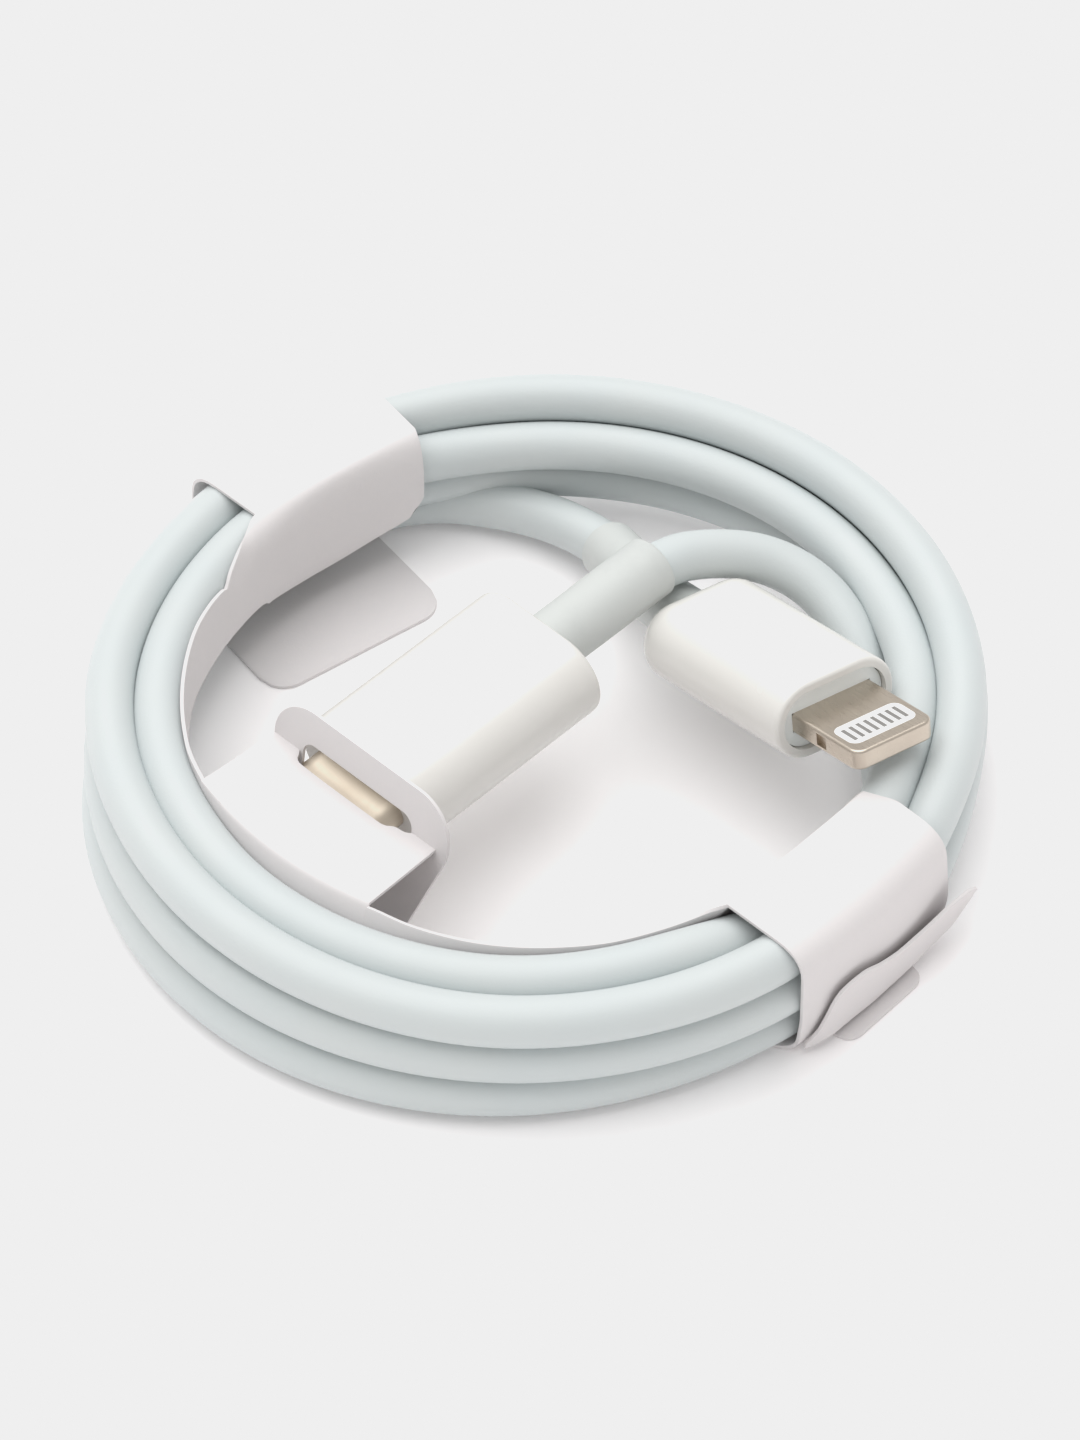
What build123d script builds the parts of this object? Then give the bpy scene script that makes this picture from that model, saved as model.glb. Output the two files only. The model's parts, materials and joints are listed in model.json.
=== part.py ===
"""Phone charging cable, coiled and held in its folded paper retainer.

Frame: millimetres, +Z up, the floor at Z = 0, the middle of the coil on the Z axis.
One end is a plug with a stadium-shaped metal shell, the other a reversible plug with a flat
metal tab.  The cable lies in a slightly oval coil, two strands wide and three high.
"""
import os
from math import cos, pi, radians, sin, tan

from build123d import *

os.makedirs("parts", exist_ok=True)

# ---------------------------------------------------------------- driving dimensions
cable_diameter = 3.45
cable_radius = cable_diameter / 2
bottom_row = 2.0                        # height of the lowest strand's centre
top_row = bottom_row + 2 * cable_diameter
outer_strand = 29.15                    # mean radius of the outer strands
inner_strand = outer_strand - cable_diameter
coil_inside = inner_strand - cable_radius
coil_outside = outer_strand + cable_radius
coil_bottom = bottom_row - cable_radius
coil_top = top_row + cable_radius
middle_floor = coil_bottom + cable_diameter
shoulder_rounding = cable_radius - 0.05
oval = 0.64                             # how far the coil departs from a circle
oval_angle = 48                         # direction of its long axis
lower_row_start = -20                   # azimuths between which nothing lies in the lowest row
lower_row_end = 116
entry_end = -75                         # the oval plug's lead lies in the lowest inner place up to here
crossover = 138                         # where the lowest strand moves to the inner place

reach = 60                              # further out than anything, for cutting shapes
headroom = 20                           # higher than anything

paper = 0.25                            # thickness of the card
wall_gap = 0.08
wall_outside = coil_inside - wall_gap
wall_inside = wall_outside - paper
wall_bottom, wall_top = 2.3, 10.7
wrap_gap = 0.07                         # card to cable, over the top and outside
band_top = coil_top + wrap_gap + paper
band_outside = coil_outside + wrap_gap + paper
left_band_azimuth, left_band_width = 126, 15.4
right_band_azimuth, right_band_width = -42, 14.2
# the left band ends inside the coil in a tab on the floor, its outer corners under the band
inner_tab_corners = [(-23.0, 14.4), (-18.2, 7.7), (-7.2, 15.0), (-10.6, 23.8)]
inner_tab_rounding = [0.3, 2, 2, 0.3]
right_band_flat = 29.75                 # the right band's outer side is flat and presses the coil in to here
outer_tab_width, outer_tab_end, outer_tab_rounding = 9.2, 32.3, 2

fold_left = Vector(-17.44, -5.15, 0)    # ends of the fold between shelf and plate
fold_right = Vector(-6.55, -15.77, 0)
shelf_left = Vector(-24.5, -11.6, 0)    # side edges of the shelf run out to these
shelf_right = Vector(-11.9, -23.0, 0)
shelf_top = 10.6
notch_depth = 0.9
fold_clearance = 0.05
plate_lean = 10                         # degrees from upright, towards the plug
# outlines in the panel's own plane: X along the fold, Y up from it
plate_corners = [(-4.2, -9.9), (5.3, -9.9), (8.6, -0.4), (8.6, 3.7), (-7.7, 3.7), (-7.7, -0.1)]
plate_rounding = [1.5, 1.5, 5, 3.0, 3.4, 1.5]
slot_width, slot_height, slot_rounding = 10.3, 4.2, 1.0
slot_middle = (0.2, -1.0)

flap_fold_distance = 30.3
flap_fold_height = 0.65
flap_lean = 21
flap_corners = [(-6.9, 0), (6.4, 0), (7.9, 5.0), (-6.9, 5.0)]
flap_rounding = [0.3, 0.3, 1.6, 3.8]

# the stadium-shaped plug: its frame stands at the front of the cover, +Z towards the cable
usb_origin, usb_yaw, usb_pitch, usb_roll = Vector(-11.65, -8.75, 9.05), 44.5, 2.95, 0
usb_cover_width, usb_cover_height, usb_cover_length = 11.8, 6.4, 17.2
usb_cover_wall, usb_front_wall, usb_rear_wall = 0.9, 1.0, 1.2
usb_shell_width, usb_shell_height, usb_shell_reach = 8.25, 2.4, 6.65
usb_shell_wall, usb_shell_seat = 0.3, 4.4               # the shell runs back to there inside the cover
usb_insulator_width, usb_insulator_height = 5.9, 1.74
usb_insulator_front, usb_insulator_back = -6.3, 4.0
usb_shoulder_start, usb_shoulder_width = 1.6, 6.3
usb_pocket_end, usb_pocket_width, usb_pocket_height = -0.4, 6.1, 0.8    # takes the socket's tongue
usb_contact_count, usb_contact_pitch = 12, 0.5
usb_contact_front, usb_contact_back = -5.4, 5.9
usb_contact_width, usb_contact_thickness, usb_contact_level = 0.25, 0.14, 0.45
usb_groove_front, usb_groove_width, usb_groove_depth, usb_groove_level = -5.6, 0.27, 0.26, 0.48
latch_front, latch_root, latch_offset = -5.6, 1.4, 3.25
latch_thickness, latch_height = 0.2, 0.7
hook_front, hook_back, hook_thickness, hook_offset = -5.3, -4.6, 0.25, 3.05
spring_front, spring_back, spring_width = -1.5, 3.0, 4.6
spring_thickness, spring_level = 0.02, 0.885
board_thickness = 0.6
usb_board_start, usb_board_end, usb_board_width = 4.5, 12.4, 8.2
# each chip: start, end, width, height, place across
usb_chip_sizes = [(7.2, 9.4, 2.4, 0.7, -1.9), (7.6, 9.0, 1.6, 0.5, 1.8), (10.0, 10.6, 1.0, 0.4, 1.8)]
usb_can_start, usb_can_end, usb_can_width, usb_can_height = 4.7, 13.2, 9.7, 4.3
can_sheet = 0.2
usb_can_back, usb_can_hole = 0.3, 2.6
wire_diameter = 0.5
usb_wire_count, usb_wire_circle, usb_wire_start, usb_wire_end = 5, 0.75, 12.5, 15.9
usb_crimp_start, usb_crimp_end, usb_crimp_diameter = 13.3, 15.6, 3.9
crimp_sheet = 0.25
usb_mould_clearance, usb_mould_bore = 0.05, 3.95
usb_relief_start, usb_relief_end, usb_relief_diameter, usb_relief_bore = 16.05, 27.9, 4.5, 2.6
usb_lead_start = 23.2                   # the jacket's end inside the strain relief

# the flat-tab plug: its frame stands at the rim of the cover, +Z towards the tip
tab_origin, tab_yaw, tab_pitch, tab_roll = Vector(20.28, -3.33, 10.98), -52.9, 15.3, -5.4
tab_cover_width, tab_cover_height, tab_cover_length = 10.1, 5.75, 16.2
tab_cover_wall, tab_cover_back_wall, tab_cover_lip = 0.7, 1.8, 0.3
tab_width, tab_thickness, tab_reach, tab_root = 6.7, 1.5, 6.6, -4.0
tab_tip_rounding, tab_edge_rounding = 0.9, 0.22
insert_start, insert_end, insert_clearance = -2.2, -0.45, 0.05
tongue_width, tongue_thickness = 4.6, 0.8               # the moulding's way back through the tab
notch_start, notch_end, notch_size = 2.2, 3.2, 0.9
pad_window_start, pad_window_end, pad_window_width, pad_window_rounding = 3.0, 5.6, 5.6, 0.7
moulding_recess = 0.01
pad_count, pad_pitch, pad_width, pad_span = 8, 0.62, 0.32, (3.5, 5.1)
pad_thickness, pad_level, pad_pocket_depth, pad_pocket_level = 0.1, 0.65, 0.2, 0.7
phone_board_start, phone_board_end, phone_board_width = -11.6, -4.1, 7.2
phone_chip_sizes = [(-8.6, -6.4, 2.6, 0.7, -1.4), (-8.2, -6.9, 1.4, 0.5, 1.9), (-10.6, -9.9, 1.0, 0.4, 1.5)]
phone_can_start, phone_can_end, phone_can_width, phone_can_height = -12.0, -2.4, 8.4, 4.05
phone_can_back, phone_can_hole = 0.3, 2.4
phone_wire_count, phone_wire_circle, phone_wire_start, phone_wire_end = 4, 0.7, -14.0, -11.75
phone_crimp_start, phone_crimp_end, phone_crimp_diameter = -13.9, -12.4, 3.6
phone_relief_diameter, phone_relief_start, phone_relief_bend = 4.3, -14.2, -18.9
phone_relief_radius = 12


def plug_plane(origin, yaw, pitch, roll):
    """A plane whose normal is a plug's axis and whose X runs across the plug."""
    y, p, r = radians(yaw), radians(pitch), radians(roll)
    axis = Vector(cos(y) * cos(p), sin(y) * cos(p), sin(p))
    across = Vector(-sin(y), cos(y), 0)
    up = axis.cross(across)
    return Plane(origin, x_dir=across * cos(r) + up * sin(r), z_dir=axis)


usb = plug_plane(usb_origin, usb_yaw, usb_pitch, usb_roll)
tab = plug_plane(tab_origin, tab_yaw, tab_pitch, tab_roll)


# ---------------------------------------------------------------- shared shapes
def slot_bar(plane, start, end, width, height, mode=Mode.ADD):
    """A bar of stadium section between two stations along a plug."""
    with BuildSketch(plane.offset(start)) as section:
        SlotOverall(width, height)
    extrude(section.sketch, amount=end - start, mode=mode)


def box_bar(plane, start, end, width, height, across=0.0, up=0.0, mode=Mode.ADD):
    """A bar of rectangular section between two stations along a plug."""
    with BuildSketch(plane.offset(start)) as section:
        with Locations((across, up)):
            Rectangle(width, height)
    extrude(section.sketch, amount=end - start, mode=mode)


def round_bar(plane, start, end, diameter, across=0.0, up=0.0, mode=Mode.ADD):
    """A bar of round section between two stations along a plug."""
    with BuildSketch(plane.offset(start)) as section:
        with Locations((across, up)):
            Circle(diameter / 2)
    extrude(section.sketch, amount=end - start, mode=mode)


def rounded_block(plane, start, end, width, height, rounding, mode=Mode.ADD):
    """A block that is a rounded rectangle seen from above the plug."""
    middle = plane.from_local_coords(Vector(0, 0, (start + end) / 2))
    with BuildSketch(Plane(middle, x_dir=plane.x_dir, z_dir=plane.y_dir)) as section:
        RectangleRounded(width, end - start, rounding)
    extrude(section.sketch, amount=height / 2, both=True, mode=mode)


def chips_on(plane, sizes):
    """Chips that stand on a board in the middle of a plug."""
    for start, end, width, height, across in sizes:
        box_bar(plane, start, end, width, height, across, (board_thickness + height) / 2)


def shield_can(plane, start, end, width, height, open_start, open_end, hole_start, hole_end, hole):
    """A thin can of stadium section, open where the cavity passes its end, with a hole for the wires."""
    slot_bar(plane, start, end, width, height)
    slot_bar(plane, open_start, open_end, width - 2 * can_sheet, height - 2 * can_sheet, mode=Mode.SUBTRACT)
    round_bar(plane, hole_start, hole_end, hole, mode=Mode.SUBTRACT)


def wire_bundle(plane, start, end, count, circle, first_angle):
    """Insulated conductors, evenly round a circle."""
    for number in range(count):
        angle = radians(first_angle + 360 / count * number)
        round_bar(plane, start, end, wire_diameter, circle * cos(angle), circle * sin(angle))


def crimp_ring(plane, start, end, diameter):
    """The ring that holds the braid."""
    round_bar(plane, start, end, diameter)
    round_bar(plane, start, end, diameter - 2 * crimp_sheet, mode=Mode.SUBTRACT)


def oval_ring(inside, outside, bottom, top, mode=Mode.ADD):
    """An upright ring that follows the coil's oval, between two radii and two heights."""
    with BuildSketch(Plane.XY.offset(bottom)) as section:
        Ellipse(outside + oval, outside - oval, rotation=oval_angle)
        Ellipse(inside + oval, inside - oval, rotation=oval_angle, mode=Mode.SUBTRACT)
    extrude(section.sketch, amount=top - bottom, mode=mode)


def wedge(start, end, bottom, top, mode=Mode.INTERSECT):
    """Everything between two azimuths, less than half a turn apart."""
    corners = [(0, 0)] + [
        (reach * cos(radians(a)), reach * sin(radians(a)))
        for a in (start, start + (end - start) / 3, end - (end - start) / 3, end)
    ]
    with BuildSketch(Plane.XY.offset(bottom)) as section:
        with BuildLine():
            Polyline(*corners, close=True)
        make_face()
    extrude(section.sketch, amount=top - bottom, mode=mode)


def radial_plane(azimuth):
    """The floor plane, turned so that its X axis points along an azimuth."""
    return Plane((0, 0, 0), x_dir=(cos(radians(azimuth)), sin(radians(azimuth)), 0), z_dir=(0, 0, 1))


def radial_slab(azimuth, width, mode=Mode.INTERSECT):
    """A block of constant width that runs out from the Z axis at an azimuth."""
    with BuildSketch(radial_plane(azimuth)) as section:
        with Locations((reach / 2, 0)):
            Rectangle(reach, width)
    extrude(section.sketch, amount=headroom, mode=mode)


def outside_slab(distance, mode=Mode.SUBTRACT):
    """Everything that lies further out than the right band's flat side."""
    with BuildSketch(radial_plane(right_band_azimuth)) as section:
        with Locations((distance + reach / 2, 0)):
            Rectangle(reach, reach)
    extrude(section.sketch, amount=headroom, mode=mode)


def card_outline(plane, corners, rounding):
    """A straight-edged outline with each corner rounded to its own radius."""
    with BuildSketch(plane) as outline:
        with BuildLine():
            Polyline(*corners, close=True)
        make_face()
        for corner, radius in zip(corners, rounding):
            fillet(outline.vertices().sort_by_distance((*corner, 0))[0], radius)
    return outline.sketch


def cord_path(route):
    """Straight runs joined by tangent arcs, each as large as its two runs allow."""
    radii = []
    for before, corner, after in zip(route, route[1:], route[2:]):
        run_in, run_out = corner - before, after - corner
        half_turn = radians(run_in.get_angle(run_out)) / 2
        radii.append(0.45 * min(run_in.length, run_out.length) / tan(half_turn))
    print("bend radii", [round(r, 1) for r in radii])
    with BuildLine() as path:
        FilletPolyline(*route, radius=radii)
    return path.wires()[0]


def cord_tube(path):
    """A round tube of the cable's diameter along a path."""
    with BuildSketch(Plane(path @ 0, z_dir=path % 0)) as section:
        Circle(cable_radius)
    sweep(section.sketch, path=path)


# ---------------------------------------------------------------- free leads
usb_lead_route = [
    usb_origin + usb.z_dir * usb_lead_start,
    usb_origin + usb.z_dir * 28.4,
    Vector(12.2, 13.4, 9.6),
    Vector(16.0, 14.2, 8.4),
    Vector(19.6, 12.4, 7.2),
    Vector(22.0, 8.8, 5.9),
    Vector(23.4, 5.0, 4.4),
    Vector(24.0, 0.5, 2.9),
    Vector(24.4, -4.0, 2.1),
    Vector(23.9, -8.7, 2.0),
]
phone_relief_end = Vector(5.3, 19.5, 3.2)
phone_lead_route = [
    Vector(8.1, 15.8, 4.1),
    Vector(5.0, 19.8, 3.1),
    Vector(1.4, 22.8, 2.4),
    Vector(-2.6, 24.6, 2.05),
    Vector(-7.0, 24.9, 2.0),
    Vector(-10.4, 23.3, 2.0),
]

usb_lead_path = cord_path(usb_lead_route)
with BuildPart() as usb_lead:
    cord_tube(usb_lead_path)

phone_lead_path = cord_path(phone_lead_route)
with BuildPart() as phone_lead:
    cord_tube(phone_lead_path)

section_area = pi * cable_radius ** 2
for lead, path in ((usb_lead, usb_lead_path), (phone_lead, phone_lead_path)):
    print("lead", round(path.length, 2), "mm, volume ratio",
          round(lead.part.volume / (section_area * path.length), 4))

# ---------------------------------------------------------------- coil
with BuildPart() as lowest_row:
    oval_ring(coil_outside - cable_diameter, coil_outside, coil_bottom, middle_floor)
    outer_edge = lowest_row.edges().group_by(Axis.Z)[0].sort_by(SortBy.LENGTH)[-1]
    fillet(outer_edge, shoulder_rounding)
    wedge(lower_row_start, crossover, 0, middle_floor, mode=Mode.SUBTRACT)

with BuildPart() as crossing:
    oval_ring(coil_inside, coil_outside, coil_bottom, middle_floor)
    wedge(lower_row_end, crossover, 0, middle_floor)

with BuildPart() as entry:
    oval_ring(coil_inside, coil_outside, coil_bottom, middle_floor)
    wedge(entry_end, lower_row_start, 0, middle_floor)

with BuildPart() as cable_coil:
    oval_ring(coil_inside, coil_outside, middle_floor, coil_top)
    fillet(cable_coil.faces().sort_by(Axis.Z)[-1].edges(), shoulder_rounding)
    add([lowest_row.part, crossing.part, entry.part])
    add([usb_lead.part, phone_lead.part], mode=Mode.SUBTRACT)
    outside_slab(right_band_flat)

# ---------------------------------------------------------------- paper retainer
with BuildPart() as wrapped_room:
    oval_ring(wall_outside, band_outside - paper, paper, band_top - paper)
    fillet(wrapped_room.faces().sort_by(Axis.Z)[-1].edges(), cable_radius)

with BuildPart() as card_wrap:
    oval_ring(wall_inside, band_outside, 0, band_top)
    fillet(card_wrap.faces().sort_by(Axis.Z)[-1].edges(), cable_radius + paper)
    add(wrapped_room.part, mode=Mode.SUBTRACT)

with BuildPart() as paper_band_left:
    add(card_wrap.part)
    oval_ring(wall_inside - 1, wall_outside, paper, wall_bottom, mode=Mode.SUBTRACT)
    radial_slab(left_band_azimuth, left_band_width)
    extrude(card_outline(Plane.XY, inner_tab_corners, inner_tab_rounding), amount=paper)

with BuildPart() as paper_band_right:
    add(card_wrap.part)
    outside_slab(right_band_flat + wrap_gap)
    with BuildSketch(radial_plane(right_band_azimuth)) as flat_side:
        with Locations((right_band_flat + wrap_gap + paper / 2, 0)):
            Rectangle(paper, right_band_width)
    extrude(flat_side.sketch, amount=coil_top - cable_radius / 2)
    oval_ring(wall_inside - 1, wall_outside, 0, paper, mode=Mode.SUBTRACT)
    oval_ring(wall_outside, band_outside + 1, 0, flap_fold_height, mode=Mode.SUBTRACT)
    radial_slab(right_band_azimuth, right_band_width)

with BuildPart() as paper_tab_right:
    with BuildSketch(radial_plane(right_band_azimuth)) as outer_tab:
        with Locations(((wall_inside + outer_tab_end) / 2, 0)):
            RectangleRounded(outer_tab_end - wall_inside, outer_tab_width, outer_tab_rounding)
    extrude(outer_tab.sketch, amount=paper)

with BuildPart() as paper_wall:
    oval_ring(wall_inside, wall_outside, wall_bottom, wall_top)
    wedge(right_band_azimuth, left_band_azimuth, 0, headroom, mode=Mode.SUBTRACT)
    radial_slab(left_band_azimuth, left_band_width, mode=Mode.SUBTRACT)
    radial_slab(right_band_azimuth, right_band_width, mode=Mode.SUBTRACT)

fold_along = (fold_right - fold_left).normalized()
fold_middle = (fold_left + fold_right) / 2
towards_plug = Vector(0, 0, 1).cross(fold_along)
fold_gap = towards_plug * fold_clearance
shelf_plane = Plane(fold_middle + Vector(0, 0, shelf_top), x_dir=fold_along, z_dir=(0, 0, 1))
plate_up = towards_plug * sin(radians(plate_lean)) + Vector(0, 0, cos(radians(plate_lean)))
plate_plane = Plane(shelf_plane.origin, x_dir=fold_along, z_dir=fold_along.cross(plate_up))

with BuildPart() as paper_shelf:
    with BuildSketch(Plane.XY.offset(shelf_top - paper)) as shelf_outline:
        with BuildLine():
            Polyline(fold_left - fold_gap, fold_right - fold_gap, shelf_right, shelf_left, close=True)
        make_face()
        Ellipse(wall_inside + oval, wall_inside - oval, rotation=oval_angle, mode=Mode.INTERSECT)
    extrude(shelf_outline.sketch, amount=paper)
    with BuildSketch(shelf_plane) as notch:
        SlotOverall(slot_width, notch_depth * 2)
    extrude(notch.sketch, amount=-paper, mode=Mode.SUBTRACT)

with BuildPart() as paper_plate:
    extrude(card_outline(plate_plane, plate_corners, plate_rounding), amount=-paper)
    with BuildSketch(plate_plane) as slot:
        with Locations(slot_middle):
            RectangleRounded(slot_width, slot_height, slot_rounding)
    extrude(slot.sketch, amount=-paper, mode=Mode.SUBTRACT)

outward = Vector(1, 0, 0).rotate(Axis.Z, right_band_azimuth)
flap_along = Vector(0, 0, 1).cross(outward)
flap_up = outward * sin(radians(flap_lean)) + Vector(0, 0, cos(radians(flap_lean)))
flap_fold = outward * flap_fold_distance + Vector(0, 0, flap_fold_height)
flap_plane = Plane(flap_fold, x_dir=flap_along, z_dir=flap_along.cross(flap_up))
print("flap fold", flap_fold, "along", flap_along)

with BuildPart() as paper_flap:
    extrude(card_outline(flap_plane, flap_corners, flap_rounding), amount=paper)

# ---------------------------------------------------------------- stadium-shaped plug
with BuildPart() as usb_cover:
    slot_bar(usb, 0, usb_cover_length, usb_cover_width, usb_cover_height)
    end_faces = usb_cover.faces().sort_by(Axis(usb_origin, usb.z_dir))
    fillet(end_faces[0].edges(), 0.5)
    fillet(end_faces[-1].edges(), 0.7)
    slot_bar(usb, 0, usb_front_wall, usb_shell_width, usb_shell_height, mode=Mode.SUBTRACT)
    slot_bar(usb, usb_front_wall, usb_cover_length - usb_rear_wall, usb_cover_width - 2 * usb_cover_wall,
             usb_cover_height - 2 * usb_cover_wall, mode=Mode.SUBTRACT)
    round_bar(usb, usb_cover_length / 2, usb_cover_length + 1, usb_relief_diameter, mode=Mode.SUBTRACT)

with BuildPart() as usb_shell:
    slot_bar(usb, -usb_shell_reach, usb_shell_seat, usb_shell_width, usb_shell_height)
    lip = usb_shell.faces().sort_by(Axis(usb_origin, usb.z_dir))[0]
    fillet(lip.edges(), 0.12)
    slot_bar(usb, -usb_shell_reach, usb_shell_seat, usb_shell_width - 2 * usb_shell_wall,
             usb_shell_height - 2 * usb_shell_wall, mode=Mode.SUBTRACT)

usb_contact_places = [
    (number - (usb_contact_count - 1) / 2) * usb_contact_pitch for number in range(usb_contact_count)
]

with BuildPart() as usb_insulator:
    box_bar(usb, usb_insulator_front, usb_insulator_back, usb_insulator_width, usb_insulator_height)
    box_bar(usb, usb_shoulder_start, usb_insulator_back, usb_shoulder_width, usb_insulator_height)
    box_bar(usb, usb_insulator_front, usb_pocket_end, usb_pocket_width, usb_pocket_height, mode=Mode.SUBTRACT)
    for side in (-1, 1):
        for place in usb_contact_places:
            box_bar(usb, usb_groove_front, usb_insulator_back, usb_groove_width, usb_groove_depth,
                    place, side * usb_groove_level, mode=Mode.SUBTRACT)

for side, name in ((1, "usb_contacts_upper"), (-1, "usb_contacts_lower")):
    with BuildPart() as usb_contacts:
        for place in usb_contact_places:
            box_bar(usb, usb_contact_front, usb_contact_back, usb_contact_width, usb_contact_thickness,
                    place, side * usb_contact_level)
    usb_contacts.part.label = name
    export_step(usb_contacts.part, f"parts/{name}.step")

latches = {}
for side, name in ((1, "usb_latch_left"), (-1, "usb_latch_right")):
    with BuildPart() as usb_latch:
        box_bar(usb, latch_front, latch_root, latch_thickness, latch_height, side * latch_offset)
        box_bar(usb, hook_front, hook_back, hook_thickness, latch_height, side * hook_offset)
    latches[name] = usb_latch
    pivot = usb.from_local_coords(Vector(side * latch_offset, 0, latch_root))
    print(name, "pivot", pivot, "axis", usb.y_dir)

with BuildPart() as usb_ground_springs:
    for side in (-1, 1):
        box_bar(usb, spring_front, spring_back, spring_width, spring_thickness, 0, side * spring_level)

with BuildPart() as usb_board:
    box_bar(usb, usb_board_start, usb_board_end, usb_board_width, board_thickness)

with BuildPart() as usb_chips:
    chips_on(usb, usb_chip_sizes)

with BuildPart() as usb_shield_can:
    shield_can(usb, usb_can_start, usb_can_end, usb_can_width, usb_can_height,
               usb_can_start, usb_can_end - usb_can_back,
               usb_wire_start - wire_diameter, usb_can_end, usb_can_hole)

with BuildPart() as usb_wires:
    wire_bundle(usb, usb_wire_start, usb_wire_end, usb_wire_count, usb_wire_circle, 0)

with BuildPart() as usb_crimp:
    crimp_ring(usb, usb_crimp_start, usb_crimp_end, usb_crimp_diameter)

with BuildPart() as usb_inner_mould:
    mould_inset = 2 * (usb_cover_wall + usb_mould_clearance)
    slot_bar(usb, usb_crimp_start, usb_wire_end,
             usb_cover_width - mould_inset, usb_cover_height - mould_inset)
    round_bar(usb, usb_crimp_start, usb_wire_end, usb_mould_bore, mode=Mode.SUBTRACT)

with BuildPart() as usb_strain_relief:
    round_bar(usb, usb_relief_start, usb_relief_end, usb_relief_diameter)
    relief_rim = usb_strain_relief.faces().sort_by(Axis(usb_origin, usb.z_dir))[-1]
    fillet(relief_rim.edges(), 0.35)
    round_bar(usb, usb_relief_start, usb_lead_start, usb_relief_bore, mode=Mode.SUBTRACT)
    add(usb_lead.part, mode=Mode.SUBTRACT)

with BuildPart() as usb_cable_core:
    round_bar(usb, usb_relief_start, usb_lead_start, usb_relief_bore)

# ---------------------------------------------------------------- flat-tab plug
cavity_width = tab_cover_width - 2 * tab_cover_wall
cavity_height = tab_cover_height - 2 * tab_cover_wall

with BuildPart() as phone_cover:
    slot_bar(tab, -tab_cover_length, 0, tab_cover_width, tab_cover_height)
    end_faces = phone_cover.faces().sort_by(Axis(tab_origin, tab.z_dir))
    fillet(end_faces[0].edges(), 1.9)
    fillet(end_faces[-1].edges(), tab_cover_lip)
    slot_bar(tab, tab_cover_back_wall - tab_cover_length, 0, cavity_width, cavity_height, mode=Mode.SUBTRACT)
    round_bar(tab, -tab_cover_length - 1, phone_crimp_start + 0.6, phone_relief_diameter, mode=Mode.SUBTRACT)

with BuildPart() as phone_front_insert:
    slot_bar(tab, insert_start, insert_end, cavity_width - 2 * insert_clearance,
             cavity_height - 2 * insert_clearance)
    box_bar(tab, insert_start, insert_end, tab_width, tab_thickness, mode=Mode.SUBTRACT)

with BuildPart() as phone_tab_frame:
    box_bar(tab, tab_root, tab_reach, tab_width, tab_thickness)
    upright = phone_tab_frame.edges().filter_by(Axis(tab_origin, tab.y_dir))
    fillet(upright.sort_by(Axis(tab_origin, tab.z_dir))[-2:], tab_tip_rounding)
    tip_faces = phone_tab_frame.faces().filter_by(Axis(tab_origin, tab.y_dir))
    outside_edges = tip_faces.edges().filter_by(lambda edge: tab.to_local_coords(edge.center()).Z > 1)
    fillet(outside_edges, tab_edge_rounding)
    rounded_block(tab, pad_window_start, pad_window_end, pad_window_width, 2 * tab_thickness,
                  pad_window_rounding, mode=Mode.SUBTRACT)
    box_bar(tab, tab_root, pad_window_start, tongue_width, tongue_thickness, mode=Mode.SUBTRACT)
    for side in (-1, 1):
        notch_middle = side * (tab_width / 2 + notch_size / 6)
        box_bar(tab, notch_start, notch_end, notch_size, notch_size, notch_middle, mode=Mode.SUBTRACT)

pad_places = [(number - (pad_count - 1) / 2) * pad_pitch for number in range(pad_count)]

with BuildPart() as phone_contact_moulding:
    rounded_block(tab, pad_window_start, pad_window_end, pad_window_width,
                  tab_thickness - 2 * moulding_recess, pad_window_rounding)
    box_bar(tab, tab_root, pad_window_start, tongue_width, tongue_thickness)
    for side in (-1, 1):
        for place in pad_places:
            box_bar(tab, *pad_span, pad_width, pad_pocket_depth, place, side * pad_pocket_level,
                    mode=Mode.SUBTRACT)

for side, name in ((1, "phone_contacts_upper"), (-1, "phone_contacts_lower")):
    with BuildPart() as phone_contacts:
        for place in pad_places:
            box_bar(tab, *pad_span, pad_width, pad_thickness, place, side * pad_level)
    phone_contacts.part.label = name
    export_step(phone_contacts.part, f"parts/{name}.step")

with BuildPart() as phone_board:
    box_bar(tab, phone_board_start, phone_board_end, phone_board_width, board_thickness)

with BuildPart() as phone_chips:
    chips_on(tab, phone_chip_sizes)

with BuildPart() as phone_shield_can:
    shield_can(tab, phone_can_start, phone_can_end, phone_can_width, phone_can_height,
               phone_can_start + phone_can_back, phone_can_end,
               phone_can_start, phone_wire_end + wire_diameter, phone_can_hole)

with BuildPart() as phone_wires:
    wire_bundle(tab, phone_wire_start, phone_wire_end, phone_wire_count, phone_wire_circle, 45)

with BuildPart() as phone_crimp:
    crimp_ring(tab, phone_crimp_start, phone_crimp_end, phone_crimp_diameter)

with BuildLine() as phone_relief_path:
    FilletPolyline(tab.from_local_coords(Vector(0, 0, phone_relief_start)),
                   tab.from_local_coords(Vector(0, 0, phone_relief_bend)),
                   phone_relief_end, radius=phone_relief_radius)

with BuildPart() as phone_strain_relief:
    relief_line = phone_relief_path.wires()[0]
    with BuildSketch(Plane(relief_line @ 0, z_dir=relief_line % 0)) as relief_section:
        Circle(phone_relief_diameter / 2)
    sweep(relief_section.sketch, path=relief_line)
    add(phone_lead.part, mode=Mode.SUBTRACT)

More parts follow.
